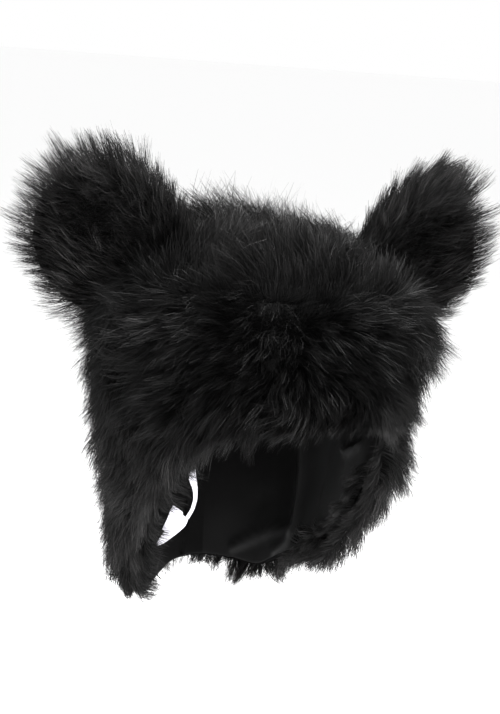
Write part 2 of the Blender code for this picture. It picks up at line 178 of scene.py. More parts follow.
CARE_FOLD_STATIONS = (
    ((-56.0, -40.0, -153.0), (-49.0, -39.8, -157.5)),
    ((-56.8, -37.4, -157.0), (-48.6, -36.8, -162.0)),
    ((-57.4, -33.4, -163.4), (-52.4, -32.4, -167.0)),
    ((-58.8, -29.0, -170.6), (-56.8, -28.4, -172.0)),
)
RIBBON_COLUMNS = 4
RIBBON_ROWS_EACH = 3

# The point that the camera and the lamps look at, the lamps' places, widths and watts, and half the floor
LOOK_AT = Vector((-0.003, 0.0, -0.068))
LAMPS = (("top_box", (0.00, 0.02, 1.35), 1.0, 120.0), ("side_box", (-1.35, -0.72, -0.12), 0.5, 12.0))
FLOOR_REACH = 30


def number_setting(name, about, default, **more):
    return bpy.props.FloatProperty(name=name, description=about, default=default, **more)


def length_setting(name, about, default):
    return number_setting(name, about, default, unit="LENGTH")


def count_setting(name, about, default):
    return bpy.props.IntProperty(name=name, description=about, default=default)


def colour_setting(name, about, default):
    return bpy.props.FloatVectorProperty(name=name, description=about, default=default, subtype="COLOR")


def angle_setting(name, about, degrees):
    return number_setting(name, about, math.radians(degrees), subtype="ANGLE")


class PlushHatFur(bpy.types.PropertyGroup):
    """Sizes and colours of the long pile."""

    pile: length_setting("Pile length", "Length of a fibre on the hood", 0.0240)
    lock: length_setting("Lock spacing", "Distance between the locks that fibres gather in", 0.0048)
    gather: number_setting("Gathering", "How far the fibres' tips close up into locks", 0.50)
    width: length_setting("Fibre width", "Width of a modelled fibre at its root", 0.00036)
    front_fibres: count_setting("Front fibres", "Fibres on each half of the front panel", 26200)
    crown_fibres: count_setting("Crown fibres", "Fibres on the crown", 25500)
    back_fibres: count_setting("Back fibres", "Fibres on each half of the back and its flap", 15500)
    turned_fibres: count_setting("Turned-in fibres", "Fibres on the strip turned in at the left flap", 4500)
    rim_fibres: count_setting("Rim fibres", "Fibres along the edge of the rim", 9000)
    ear_fibres: count_setting("Ear fibres", "Fibres on each ear", 15200)
    colour: colour_setting("Fur colour", "Colour of the fibres", (0.0062, 0.0060, 0.0060))


class PlushHatEars(bpy.types.PropertyGroup):
    """Sizes of the padded ears under their fur."""

    half_width: length_setting("Half width", "Half the width of an ear's pad", 0.0450)
    height: length_setting("Height", "Height of an ear's pad above its root", 0.0910)
    thick: length_setting("Thickness", "Thickness of an ear's pad", 0.0080)
    cup: length_setting("Cup", "How far an ear curls forwards at its sides", 0.0230)
    pile: length_setting("Pile length", "Length of a fibre on the ears", 0.0220)


class PlushHatLining(bpy.types.PropertyGroup):
    """The satin inside."""

    fold: length_setting("Fold depth", "How far the satin's folds stand into the hollow", 0.0040)
    colour: colour_setting("Satin colour", "Colour of the satin", (0.0085, 0.0085, 0.0086))


class PlushHatLabels(bpy.types.PropertyGroup):
    """The blank ribbon labels."""

    thick: length_setting("Thickness", "Thickness of the satin ribbon", 0.0005)
    colour: colour_setting("Ribbon colour", "Colour of the ribbon", (0.66, 0.65, 0.71))


class PlushHatStage(bpy.types.PropertyGroup):
    """Camera, floor and light."""

    yaw: angle_setting("Camera yaw", "Turn of the camera round the hat", -17)
    elevation: angle_setting("Camera elevation", "Height angle of the camera", 8)
    roll: angle_setting("Camera roll", "Turn of the picture", 4.5)
    distance: length_setting("Camera distance", "Distance from the camera to the hat", 1.5)
    lens: number_setting("Lens", "Focal length in millimetres", 123.0)
    floor_drop: length_setting("Floor", "Height of the hat's lowest point above the floor", 0.30)
    daylight: number_setting("Surround", "Strength of the pale surround", 1.0)


def settings(group):
    return getattr(bpy.context.scene, "plush_hat_" + group)


class Nodes:
    """Adds nodes to a tree: values that are sockets are linked, and others are set."""

    def __init__(self, tree):
        self.tree = tree

    def add(self, kind, inputs=None, **traits):
        node = self.tree.nodes.new(kind)
        for name, value in traits.items():
            setattr(node, name, value)
        return self.feed(node, inputs or {})

    def feed(self, node, inputs):
        for name, value in inputs.items():
            if isinstance(value, bpy.types.NodeSocket):
                self.tree.links.new(value, node.inputs[name])
            else:
                node.inputs[name].default_value = value
        return node

    def geometry(self, kind, inputs=None, **traits):
        return self.add("GeometryNode" + kind, inputs, **traits).outputs[0]

    def math(self, operation, *values):
        return self.add("ShaderNodeMath", dict(enumerate(values)), operation=operation).outputs[0]

    def times(self, first, second):
        return self.math("MULTIPLY", first, second)

    def blend(self, value, factor, rest):
        return self.math("MULTIPLY_ADD", value, factor, rest)

    def vector(self, operation, *values):
        return self.add("ShaderNodeVectorMath", dict(enumerate(values)), operation=operation).outputs[0]

    def toward(self, first, second):
        """The direction of two vectors together."""
        return self.vector("NORMALIZE", self.vector("ADD", first, second))

    def scaled(self, vector, factor):
        return self.add("ShaderNodeVectorMath", {0: vector, "Scale": factor}, operation="SCALE").outputs[0]

    def named(self, name, kind="FLOAT"):
        return self.geometry("InputNamedAttribute", {"Name": name}, data_type=kind)

    def named_vector(self, name):
        return self.named(name, "FLOAT_VECTOR")

    def kind_of(self, value):
        return "FLOAT_VECTOR" if value.type == "VECTOR" else "FLOAT"

    def store(self, geometry, name, value):
        inputs = {"Geometry": geometry, "Name": name, "Value": value}
        return self.geometry("StoreNamedAttribute", inputs, data_type=self.kind_of(value))

    def sample(self, geometry, value, index):
        inputs = {"Geometry": geometry, "Value": value, "Index": index}
        return self.geometry("SampleIndex", inputs, data_type=self.kind_of(value))

    def random(self, low, high, seed):
        return self.add("FunctionNodeRandomValue", {2: low, 3: high, 8: seed}, data_type="FLOAT").outputs[1]

    def random_vector(self, reach, seed):
        inputs = {0: (-reach,) * 3, 1: (reach,) * 3, 8: seed}
        return self.add("FunctionNodeRandomValue", inputs, data_type="FLOAT_VECTOR").outputs[0]

    def read(self, name):
        """A mesh's field in a material."""
        return self.add("ShaderNodeAttribute", attribute_name=name).outputs["Fac"]

    def object_place(self):
        return self.add("ShaderNodeTexCoord").outputs["Object"]

    def bump(self, height, strength, distance):
        inputs = {"Height": height, "Strength": strength, "Distance": distance}
        return self.add("ShaderNodeBump", inputs).outputs[0]

    def surface(self, inputs):
        """Feeds a material's shader."""
        self.feed(self.tree.nodes["Principled BSDF"], inputs)


def fibre_place(n, root, grow, lay, long, rise, along):
    """Where a fibre is at a share of its length: it grows out of the cloth and bends over into its lie."""
    bow = n.times(n.math("SUBTRACT", 1.0, along), n.blend(rise, -2.5, 2.5))
    height = n.times(n.times(rise, along), n.math("ADD", bow, 1.0))
    level = n.math("SQRT", n.math("SUBTRACT", 1.0, n.times(rise, rise)))
    run = n.times(level, n.times(along, n.blend(along, 0.65, 0.35)))
    bend = n.vector("ADD", n.scaled(grow, height), n.scaled(lay, run))
    return n.vector("ADD", root, n.scaled(bend, long))


def fibre_roots(n, given):
    """Points on the cloth, each with its own fibre's lie and that of the lock it belongs to."""
    seed = given["Seed"]
    # Each lock has a middle fibre, which the others close up to
    inputs = {
        "Mesh": given["Cloth"],
        "Distance Min": given["Lock Spacing"],
        "Density Max": LOCK_CROWD,
        "Seed": n.math("ADD", seed, 5.0),
    }
    locks = n.geometry("DistributePointsOnFaces", inputs, distribute_method="POISSON")
    place = n.geometry("InputPosition")
    comb, stray = n.named_vector("comb"), n.named("stray")
    middle = {
        "root": place,
        "grow": n.toward(n.named_vector("out"), n.random_vector(0.16, 4)),
        "lay": n.toward(comb, n.scaled(n.random_vector(1.0, 3), stray)),
        "rise": n.times(n.named("rise"), n.random(0.82, 1.12, 6)),
        "long": n.random(0.80, 1.12, 7),
        "shade": n.random(0.0, 1.0, 8),
    }
    density = n.times(given["Fibres per Square Metre"], n.named("thick"))
    inputs = {"Mesh": given["Cloth"], "Density": density, "Seed": seed}
    fibres = n.geometry("DistributePointsOnFaces", inputs)
    nearest = n.geometry("SampleNearest", {"Geometry": locks})
    for name, value in middle.items():
        fibres = n.store(fibres, "lock_" + name, n.sample(locks, value, nearest))

    # A few fibres get a much lighter colour: painted glints. Each fibre's colour level is the cloth's painted
    # light and shade times these.
    painted_glint = n.blend(n.math("POWER", n.random(0.0, 1.0, 13), 5.0), 2.6, 0.46)
    own = {
        "own_root": place,
        "own_lay": n.toward(comb, n.scaled(n.random_vector(1.0, 9), stray)),
        "own_rise": n.times(n.named("rise"), n.random(0.7, 1.2, 10)),
        "own_long": n.times(n.named("pile"), n.times(n.named("lock_long"), n.random(0.70, 1.06, 11))),
        "own_turn": n.random_vector(0.95, 12),
        "painted_light_and_tone": n.times(n.named("shade"), painted_glint),
    }
    for name, value in own.items():
        fibres = n.store(fibres, name, value)
    return fibres


def fur_tree():
    """Fibres over a cloth whose fields say how the pile grows."""
    tree = bpy.data.node_groups.new("fur_pile", "GeometryNodeTree")
    for name, kind in FUR_INPUTS:
        tree.interface.new_socket(name, in_out="INPUT", socket_type="NodeSocket" + kind)
    tree.interface.new_socket("Fur", in_out="OUTPUT", socket_type="NodeSocketGeometry")
    n = Nodes(tree)
    given = n.add("NodeGroupInput").outputs
    line = n.geometry("ResampleCurve", {"Curve": n.geometry("CurvePrimitiveLine"), "Count": given["Steps"]})
    line = n.store(line, "along", n.geometry("SplineParameter"))
    strands = n.geometry("InstanceOnPoints", {"Points": fibre_roots(n, given), "Instance": line})
    strands = n.geometry("RealizeInstances", {"Geometry": strands})

    # Towards its tip a fibre closes up to its lock's middle, and sways a little
    along, grow, long = n.named("along"), n.named_vector("out"), n.named("own_long")
    root = n.named_vector("own_root")
    own = fibre_place(n, root, grow, n.named_vector("own_lay"), long, n.named("own_rise"), along)
    shared = fibre_place(
        n, n.named_vector("lock_root"), n.named_vector("lock_grow"), n.named_vector("lock_lay"),
        long, n.named("lock_rise"), along,
    )
    pull = n.times(given["Gathering"], n.math("POWER", along, 0.85))
    place = n.add("ShaderNodeMix", {0: pull, 4: own, 5: shared}, data_type="VECTOR").outputs[1]
    drift = n.vector("ADD", root, n.scaled(grow, n.times(along, 0.008)))
    wave = n.add("ShaderNodeTexNoise", {"Vector": drift, "Scale": 190.0, "Detail": 1.0}).outputs["Color"]
    wave = n.vector("SUBTRACT", wave, (0.5, 0.5, 0.5))
    place = n.vector("ADD", place, n.scaled(wave, n.times(n.times(along, 0.34), long)))
    strands = n.geometry("SetPosition", {"Geometry": strands, "Position": place})

    # Each fibre is a narrow band that tapers to its tip and faces its own way
    facing = n.toward(grow, n.named_vector("own_turn"))
    strands = n.geometry("SetCurveNormal", {"Curve": strands, "Normal": facing}, mode="FREE")
    profile = n.geometry("CurvePrimitiveLine", {"Start": (-0.5, 0, 0), "End": (0.5, 0, 0)})
    taper = n.math("SUBTRACT", 1.0, n.times(0.72, n.math("POWER", along, 1.6)))
    width = n.times(given["Fibre Width"], taper)
    fur = n.geometry("CurveToMesh", {"Curve": strands, "Profile Curve": profile, "Scale": width})
    fur = n.geometry("SetShadeSmooth", {"Geometry": fur})
    for pattern in ("own_*", "lock_r*", "lock_g*", "lock_l*", *PILE_FIELDS):
        fur = n.geometry("RemoveAttribute", {"Geometry": fur, "Name": pattern}, pattern_mode="WILDCARD")
    fur = n.geometry("RealizeInstances", {"Geometry": fur})
    fur = n.geometry("SetMaterial", {"Geometry": fur, "Material": given["Finish"]})
    n.add("NodeGroupOutput", {"Fur": fur})
    return tree


def new_material(name):
    """A new material, and its nodes."""
    made = bpy.data.materials.new(name)
    made.use_nodes = True
    return made, Nodes(made.node_tree)


def fur_material():
    """Black fibres, each lock its own shade at random, with a soft shine along them; painted shade darkens
    their roots, and painted light and glints lighten them.
    """
    made = bpy.data.materials.get("black_long_pile")
    if made:
        return made
    made, n = new_material("black_long_pile")
    # The cloth's painted light and shade and the painted glints, varied at random from lock to lock
    level = n.times(n.read("painted_light_and_tone"), n.blend(n.read("lock_shade"), 0.6, 0.65))
    # Darker towards the root and lighter at the tip: painted shade deep in the pile and painted light on the
    # tips
    level = n.times(level, n.blend(n.read("along"), 1.3, 0.18))
    colour = tuple(settings("fur").colour)
    n.surface({"Base Color": n.scaled(colour, level), "Roughness": 0.52, "Specular IOR Level": 0.13})
    return made


def backing_material():
    """The dark knitted ground of the fur fabric."""
    made, n = new_material("black_knit_backing")
    loops = n.add("ShaderNodeTexVoronoi", {"Vector": n.object_place(), "Scale": 900.0}).outputs["Distance"]
    ramp = n.add("ShaderNodeValToRGB", {0: loops})
    ramp.color_ramp.elements[0].color = (0.0040, 0.0039, 0.0039, 1)
    ramp.color_ramp.elements[1].color = (0.0020, 0.0020, 0.0020, 1)
    relief = n.bump(loops, 0.5, 0.0004)
    n.surface({"Base Color": ramp.outputs[0], "Normal": relief, "Roughness": 0.9, "Specular IOR Level": 0.05})
    return made


def satin_material():
    """Black satin with a fine slanting weave."""
    made, n = new_material("black_satin_weave")
    place = n.object_place()
    inputs = {"Vector": place, "Scale": 700.0, "Distortion": 1.5}
    weave = n.add("ShaderNodeTexWave", inputs, bands_direction="DIAGONAL").outputs["Fac"]
    cloud = n.add("ShaderNodeTexNoise", {"Vector": place, "Scale": 45.0, "Detail": 3.0}).outputs["Fac"]
    # The shade field is painted light and shade; the cloud varies the colour at random.
    level = n.times(n.read("shade"), n.blend(cloud, 0.5, 0.75))
    n.surface({
        "Base Color": n.scaled(tuple(settings("lining").colour), level),
        "Roughness": n.blend(cloud, 0.12, 0.36),
        "Normal": n.bump(n.math("ADD", n.times(weave, 0.12), cloud), 0.25, 0.0012),
        "Specular IOR Level": 0.05,
    })
    return made


def ribbon_material():
    """White satin ribbon with fine ribs across it."""
    made, n = new_material("white_satin_ribbon")
    place = n.object_place()
    inputs = {"Vector": place, "Scale": 500.0, "Distortion": 0.6}
    ribs = n.add("ShaderNodeTexWave", inputs, bands_direction="Z").outputs["Fac"]
    # The creases' noise bumps the ribbon and darkens its colour in the hollows: painted shade.
    crease_with_painted_shade = n.add("ShaderNodeTexNoise", {"Vector": place, "Scale": 160.0, "Detail": 2.0}).outputs["Fac"]
    colour = tuple(settings("labels").colour)
    n.surface({
        "Base Color": n.scaled(colour, n.blend(crease_with_painted_shade, 0.3, 0.9)),
        "Normal": n.bump(n.blend(ribs, 0.2, crease_with_painted_shade), 0.5, 0.0008),
        "Roughness": 0.42,
    })
    return made


def link(name, mesh):
    """A mesh as a new object at the origin."""
    made = bpy.data.objects.new(name, mesh)
    bpy.context.scene.collection.objects.link(made)
    return made


def evaluated(made):
    """The object's mesh with its modifiers applied. The object is deleted."""
    graph = bpy.context.evaluated_depsgraph_get()
    mesh = bpy.data.meshes.new_from_object(made.evaluated_get(graph))
    bpy.data.objects.remove(made)
    return mesh


def walled(name, mesh, thick, offset):
    """A mesh as an object whose modifier gives it a wall."""
    made = link(name, mesh)
    wall = made.modifiers.new("Wall", "SOLIDIFY")
    wall.thickness = thick
    wall.offset = offset
    return made


def shade_smooth(mesh):
    mesh.polygons.foreach_set("use_smooth", [True] * len(mesh.polygons))


def finish(mesh, material):
    """Gives a mesh its one material."""
    mesh.materials.clear()
    mesh.materials.append(material)


def smoothed(mesh, levels):
    """The mesh after a subdivision."""
    made = link("being_smoothed", mesh)
    step = made.modifiers.new("Smooth", "SUBSURF")
    step.levels = step.render_levels = levels
    done = evaluated(made)
    shade_smooth(done)
    return done


def to_bmesh(mesh):
    bm = bmesh.new()
    bm.from_mesh(mesh)
    return bm


def node_cloth(name):
    """A CAD node's own mesh, merged at its corners and in quads where it has them."""
    bm = to_bmesh(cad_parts[name].data)
    bmesh.ops.remove_doubles(bm, verts=bm.verts, dist=0.000001)
    bmesh.ops.join_triangles(bm, faces=bm.faces, angle_face_threshold=1.0, angle_shape_threshold=3.1)
    return bm


def from_bmesh(name, bm):
    mesh = bpy.data.meshes.new(name)
    bm.to_mesh(mesh)
    bm.free()
    return mesh


def with_faces(mesh, name, kept_of):
    """A new mesh of the faces that kept_of() marks in their list, with the same fields."""
    bm = to_bmesh(mesh)
    faces = list(bm.faces)
    off = [face for face, stays in zip(faces, kept_of(faces)) if not stays]
    bmesh.ops.delete(bm, geom=off, context="FACES")
    return from_bmesh(name, bm)


def faces_by_points(marks, enough):
    """Marks the faces of which all or any points are marked."""
    return lambda faces: [enough(marks[vert.index] for vert in face.verts) for face in faces]


def part_of(mesh, name, keep):
    """The faces of a mesh whose middles keep() accepts, as a new mesh."""
    return with_faces(mesh, name, lambda faces: keep(np.array([face.calc_center_median() for face in faces])))


def numbers_of(items, name, size=3):
    flat = np.empty(len(items) * size)
    items.foreach_get(name, flat)
    return flat.reshape(-1, size)


def points_of(mesh):
    return numbers_of(mesh.vertices, "co")


def normals_of(mesh):
    return numbers_of(mesh.vertex_normals, "vector")


def place_points(mesh, points):
    mesh.vertices.foreach_set("co", np.asarray(points, float).ravel())
    mesh.update()


def write_fields(mesh, **fields):
    """Writes numbers or vectors on the mesh's points, in place of fields of the same name."""
    for name, values in fields.items():
        if name in mesh.attributes:
            mesh.attributes.remove(mesh.attributes[name])
        values = np.asarray(values, float)
        if values.ndim == 0:
            values = np.full(len(mesh.vertices), values)
        vectors = values.ndim == 2
        layer = mesh.attributes.new(name, "FLOAT_VECTOR" if vectors else "FLOAT", "POINT")
        layer.data.foreach_set("vector" if vectors else "value", values.ravel())


def area_of(mesh):
    return sum(face.area for face in mesh.polygons)


def unit(vectors):
    return vectors / np.maximum(np.linalg.norm(vectors, axis=-1, keepdims=True), 1e-9)


def along_cloth(ways, out):
    """Directions laid flat on a cloth that faces out."""
    return unit(ways - (ways * out).sum(-1, keepdims=True) * out)


def mixed(first, second, share):
    """Vectors between two, by a share at each point."""
    return (1 - share[:, None]) * first + share[:, None] * second


def ease(low, high, values):
    """0 below low and 1 above high, with soft ends."""
    t = np.clip((np.asarray(values, float) - low) / (high - low), 0.0, 1.0)
    return t * t * (3 - 2 * t)


def band(values, start, full, fading, end):
    """1 from full to fading, and 0 before start and beyond end, with soft ends."""
    return ease(start, full, values) * (1 - ease(fading, end, values))


def spot(values, middle, reach, power=2):
    """1 at a middle, and softly down towards 0 beyond a reach. A power of 4 gives a broader top."""
    return np.exp(-(((values - middle) / reach) ** power))


def ripple(points, length, seed):
    """A soft random field from -1 to 1 that changes over about a length."""
    rng = np.random.default_rng(seed)
    total = np.zeros(len(points))
    for _ in range(7):
        way = unit(rng.normal(size=3)) * rng.uniform(0.6, 1.5) * 2 * math.pi / (2.2 * length)
        total += np.sin(points @ way + rng.uniform(0, 2 * math.pi))
    return total / 3.2


def ripples(points, length, seed):
    """Soft random vectors."""
    return np.stack([ripple(points, length, seed + k) for k in range(3)], -1)


def azimuth(points):
    """Degrees from the front towards the wearer's left, from -180 to 180."""
    return np.degrees(np.arctan2(points[:, 0], -points[:, 1]))


def turn_from(turn, start):
    """The turn from one azimuth to another by the shorter way."""
    return (turn - start + 180) % 360 - 180


def in_front(points):
    """True on the front panel's side of the seam."""
    share = (RIDGE_HEIGHT - points[:, 2]) / (RIDGE_HEIGHT - HEM_SEAM[0])
    seam = EAR_SEAM_Y + (HEM_SEAM[1] - EAR_SEAM_Y) * share
    return (points[:, 2] < RIDGE_HEIGHT) & (points[:, 1] < seam)


def low_back(points):
    """True on the back panel below the crown."""
    return ~in_front(points) & (points[:, 2] <= CROWN_LOW)


def rim_distance(mesh, points):
    """How far each point of an open cloth is from its edge."""
    uses = {}
    for face in mesh.polygons:
        for key in face.edge_keys:
            uses[key] = uses.get(key, 0) + 1
    edge = sorted({v for key, count in uses.items() if count == 1 for v in key})
    tree = KDTree(len(edge))
    for v in edge:
        tree.insert(points[v], v)
    tree.balance()
    return np.array([tree.find(p)[2] for p in points])


def edge_direction(mesh, points, rim):
    """The direction along a cloth towards its nearest edge, at each point."""
    ends = np.array([tuple(edge.vertices) for edge in mesh.edges])
    step = points[ends[:, 1]] - points[ends[:, 0]]
    step = unit(step) * (rim[ends[:, 0]] - rim[ends[:, 1]])[:, None]
    total = np.zeros_like(points)
    np.add.at(total, ends[:, 0], step)
    np.add.at(total, ends[:, 1], step)
    return unit(total)


def sagged_hem(points):
    """Points of a cloth, with its hem hanging as low as the real one does."""
    drop = np.interp(azimuth(points), *zip(*HEM_DROOP)) * (1 - ease(-0.205, -0.160, points[:, 2]))
    moved = points.copy()
    moved[:, 2] -= drop
    return moved


def side_of_lining(outer, levels=2):
    """The lining's outer or inner face, smoothed, with its rim open."""
    bm = node_cloth("lining")
    others = []
    for face in bm.faces:
        middle = np.array(face.calc_center_median())
        out = middle - HOLLOW_CORE
        if middle[2] < HOLLOW_CORE[2]:
            out[2] = 0.0
        outward = float(np.dot(np.array(face.normal), unit(out)))
        if (outward if outer else -outward) < SQUARELY:
            others.append(face)
    bmesh.ops.delete(bm, geom=others, context="FACES")
    mesh = smoothed(from_bmesh("side_of_lining", bm), levels)
    place_points(mesh, sagged_hem(points_of(mesh)))
    return mesh


def panel_face(levels):
    """The outer face of both panels' backing."""
    mesh = side_of_lining(True, levels)
    place_points(mesh, points_of(mesh) + normals_of(mesh) * (LINING_GAP + BACKING_THICK))
    return mesh


def body_comb(points, out, rim, turn, over_rim):
    """The way that the pile of both panels lies."""
    x, y, z = points.T
    # The front panel's pile spreads from the middle of the brow and falls, and along the brim it is brushed
    # towards the wearer's right
    ray = np.stack([1.25 * (x - 0.006), 0 * x, np.minimum(z + 0.022, 0.0)], -1)
    spread = ray / np.maximum(np.linalg.norm(ray, axis=-1, keepdims=True), 0.04) + (0.0, 0.0, -0.20)
    swept = np.stack([-0.60 - 6.0 * (x + 0.01), 0 * x, -0.95 + 7.0 * (x + 0.01)], -1)
    along_brim = (1 - ease(0.004, 0.034, rim)) * spot(x, -0.004, 0.060, 4)
    spread = mixed(spread, np.clip(swept, -1.1, -0.25), along_brim)
    # The crown's pile lies up and back from the ridge, and falls at the back and on the sides
    fall = np.maximum(ease(0.02, 0.08, y), ease(0.035, 0.085, -z))
    over = mixed((-0.12, 0.55, 0.9), (0.0, 0.15, -1.0), fall)
    comb = np.where(in_front(points)[:, None], spread, over)
    comb = along_cloth(comb + 0.45 * ripples(points, 0.026, 3) + 0.40 * ripples(points, 0.010, 13), out)
    # The pile of the wearer's left flap closes over its rim, into the opening
    comb = unit(mixed(comb, (-0.30, -0.35, -0.9), over_rim))
    # At the end of the wearer's right flap it fans out
    end = ease(0.185, 0.212, -z) * (x < 0) * ease(-175, -150, turn)
    fan = np.clip((turn + 122) / 22, -1.2, 1.2)
    return unit(comb - 1.5 * (end * fan)[:, None] * unit(np.stack([y, -x, 0 * x], -1)))


def body_pile(points, rim, turn, over_rim):
    """How upright, long, dense and stray the pile of both panels is, and the painted light and shade in its
    colour.
    """
    x, y, z = points.T
    ahead = in_front(points).astype(float)
    wander = 0.008 * ripple(points, 0.020, 10)
    brow = spot(x + wander, -0.004, 0.066, 4) * spot(z + wander, -0.042, 0.026, 4) * ahead
    brim = (1 - ease(0.006, 0.030, rim)) * ahead
    crown = ease(-0.045, -0.015, z) * (1 - ahead)
    spur = ease(0.070, 0.090, x) * spot(z, -0.046, 0.015)
    cheek = ease(0.050, 0.078, x) * spot(z, -0.122, 0.022)
    flank = ease(0.045, 0.085, -x) * band(-z, 0.030, 0.060, 0.120, 0.160)
    nape = ease(120, 140, abs(turn)) * (1 - ease(0.0, 0.020, rim))
    rise = (
        0.62 + 0.32 * brow + 0.14 * crown + 0.10 * ripple(points, 0.020, 6) + 0.12 * flank + 0.12 * spur
        + 0.24 * cheek - 0.20 * (1 - ease(0.0, 0.015, rim)) + 0.06 * over_rim - 0.20 * nape
    )

    tip = ease(0.195, 0.218, -z) * (x < 0)
    hang = 0.16 * spot(turn, -38, 14) - 0.26 * band(turn, -4, 12, 44, 56)
    tuft = 0.42 * spot(x, -0.022, 0.034) - 0.15 * ease(0.03, 0.06, x)
    long = (
        1.0 + brim * hang - 0.15 * (1 - ease(0.0, 0.012, rim)) - 0.40 * tip + 0.12 * ripple(points, 0.013, 7)
        + tuft * crown + 0.35 * spur + 0.30 * cheek + 0.16 * flank
    )

    # Painted light and shade for the colour: the brow, the temple, the parting under the ridge, the flank and
    # the part under the ear are darkened with painted shade; a patch beside the brow, the low front, the
    # cheek, the right flap, the far side, the crown's middle, the crown a little and the brim are lightened
    # with painted light. The ripple varies the colour at random.
    light = spot(x, -0.068, 0.014) * spot(z, -0.046, 0.016) * ahead
    painted_temple_shade = spot(x, -0.068, 0.024) * spot(z, -0.024, 0.013) * (y < 0.01)
    parting = spot(z + 0.003 * ripple(points, 0.014, 9), RIDGE_HEIGHT - 0.010, 0.010) * (y < 0)
    low_front = ease(0.075, 0.12, -z) * ahead
    under_ear = spot(turn, -88, 28) * spot(z, -0.038, 0.022)
    right_flap = ease(0.040, 0.070, -x) * ease(0.078, 0.110, -z)
    far_side = ease(0.045, 0.065, x) * ease(0.112, 0.135, -z)
    mid_crown = spot(x, -0.020, 0.040) * crown * (1 - ease(0.03, 0.06, y))
    # Painted light and shade, with a random ripple
    shade = (
        1.0 - 0.64 * brow + 1.30 * light + 0.02 * crown + 0.25 * ripple(points, 0.018, 8) - 0.35 * parting
        - 0.30 * painted_temple_shade + 0.30 * low_front + 0.35 * cheek - 0.20 * flank - 0.80 * under_ear
        + 1.05 * right_flap + 2.50 * far_side + 0.85 * mid_crown + 0.40 * brim
    )
    return {
        "rise": np.clip(rise, 0.2, 0.93),
        "pile": settings("fur").pile * long,
        "thick": 1.0 + 0.8 * (1 - ease(0.0, 0.010, rim)),
        "stray": 0.46 + 0.45 * brow + 0.15 * crown + 0.25 * cheek,
        "shade": np.clip(shade, 0.2, 4.2),
    }


def body_cloth():
    """The outer face of both panels' backing, with the pile's lie written on its points."""
    mesh = panel_face(2)
    points, out = points_of(mesh), normals_of(mesh)
    rim, turn = rim_distance(mesh, points), azimuth(points)
    over_rim = (1 - ease(0.002, 0.013, rim)) * band(turn, 48, 62, 128, 142)
    comb = body_comb(points, out, rim, turn, over_rim)
    write_fields(mesh, out=out, comb=comb, **body_pile(points, rim, turn, over_rim))
    return mesh


def turned_in_cloth():
    """The strip of fur fabric that is turned in over the rim of the wearer's left flap."""
    mesh = side_of_lining(False)
    points = points_of(mesh)
    inside = rim_distance(mesh, points) < np.interp(azimuth(points), *zip(*TURNED_IN))
    place_points(mesh, points + normals_of(mesh) * TURNED_IN_LIFT)
    mesh = with_faces(mesh, "turned_in", faces_by_points(inside, all))
    points, out = points_of(mesh), normals_of(mesh)
    rim = rim_distance(mesh, points)
    outward = 1 - ease(0.001, 0.006, rim)
    comb = mixed((0.05, 0.20, -1.0), (-0.45, 0.50, -0.55), ease(94, 116, azimuth(points)))
    comb = comb + 0.9 * outward[:, None] * edge_direction(mesh, points, rim)
    comb = comb + 0.35 * ripples(points, 0.018, 23)
    # Its shade is painted light and shade: darker over the strip, and lighter towards the rim.
    write_fields(
        mesh, out=out, comb=along_cloth(comb, out), rise=0.50 + 0.25 * outward, stray=0.70,
        pile=0.48 * settings("fur").pile, thick=1.0 + 1.6 * outward,
        shade=0.72 + 0.5 * outward,
    )
    return mesh


def fringe_cloth(cloth):
    """The band along the rim, for fibres that close over it. The hem beside the right flap stays bare."""
    points, out = points_of(cloth), normals_of(cloth)
    rim, turn = rim_distance(cloth, points), azimuth(points)
    left = band(turn, 44, 56, 128, 140)
    right = band(turn, -112, -92, -44, -34)
    low_right = band(turn, -165, -150, -118, -104)
    brow = band(turn, -4, 12, 44, 56)
    nape = ease(128, 142, abs(turn))
    tip = ease(0.216, 0.224, -points[:, 2]) * (points[:, 0] < 0) * band(turn, -150, -140, -122, -112)
    bare = np.maximum(band(turn, -178, -172, -142, -132), tip)
    ahead = unit(edge_direction(cloth, points, rim) + (0.45 - 0.30 * nape)[:, None] * out)
    comb = mixed((-0.5, 0.0, -0.8), (0.0, 0.1, -0.8) - 0.8 * out, left)
    comb = mixed(comb, (0.0, 0.0, -0.7) - 0.90 * out, right)
    comb = mixed(comb, (0.0, -0.10, -1.0), nape) + 0.35 * ripples(points, 0.012, 63)
    tufts = 0.40 + 0.60 * ease(-0.3, 0.4, ripple(points, 0.011, 67))
    long = 0.55 + 0.16 * left + 0.30 * nape - 0.34 * low_right - 0.20 * brow + 0.38 * right
    long = long * (1 - nape * (1 - tufts)) * (1 - bare)
    fringe = cloth.copy()
    # Its shade is painted light, apart from a random ripple: lighter on the left flap's rim and much lighter
    # in the tufts at the nape.
    write_fields(
        fringe, out=ahead, comb=along_cloth(comb, ahead),
        rise=0.55 + 0.12 * ripple(points, 0.015, 66) + 0.25 * nape,
        pile=np.maximum(settings("fur").pile * long, 0.0005),
        thick=np.maximum(1 - bare, 0.001) * (1 + 1.9 * left + 1.4 * nape),
        shade=0.95 + 0.75 * left + 2.6 * nape + 0.2 * ripple(points, 0.012, 68),
    )
    return with_faces(fringe, "fringe", faces_by_points(rim < 0.00001, any))


